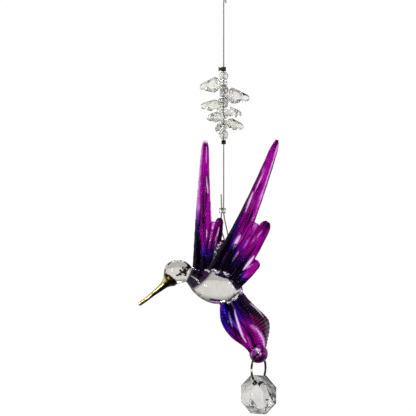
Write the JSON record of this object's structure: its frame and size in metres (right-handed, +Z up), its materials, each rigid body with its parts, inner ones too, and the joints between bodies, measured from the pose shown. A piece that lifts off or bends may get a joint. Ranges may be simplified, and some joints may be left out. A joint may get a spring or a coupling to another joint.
{
  "type": "hanging glass hummingbird suncatcher",
  "caption": "Glass hummingbird suncatcher with raised wings and twisted tail, hung on fine wire below a cluster of faceted beads, with a faceted crystal on a ring below.",
  "frame": {"origin": "inside crown of the wire's hanging loop, where a hook carries the ornament", "axes": "+Z up along the hanging line; the bird faces -X; -Y is the side the picture was taken from"},
  "size_m": [0.0506, 0.0328, 0.162],
  "materials": {
    "violet_glass": "fire-polished, violet to deep blue over clear",
    "clear_glass": "cut and polished",
    "beading_wire": "fine stranded wire under a thin grey coat",
    "bright_crimp": "bright plated, pressed",
    "dark_crimp": "blackened, pressed",
    "ring_steel": "polished"
  },
  "bodies": {
    "root": {"glass_hummingbird": "violet_glass", "hanging_wire": "beading_wire", "top_loop_crimp": "bright_crimp", "bird_loop_crimp": "bright_crimp", "upper_bead_crimp": "dark_crimp", "lower_bead_crimp": "dark_crimp", "jump_ring": "ring_steel", "upper_round_bead": "clear_glass", "drop_bead_1": "clear_glass", "drop_bead_2": "clear_glass", "drop_bead_3": "clear_glass", "drop_bead_4": "clear_glass", "drop_bead_5": "clear_glass", "drop_bead_6": "clear_glass", "drop_bead_7": "clear_glass", "drop_bead_8": "clear_glass", "drop_bead_9": "clear_glass", "lower_round_bead": "clear_glass", "octagon_crystal": "clear_glass"}
  },
  "joints": []
}
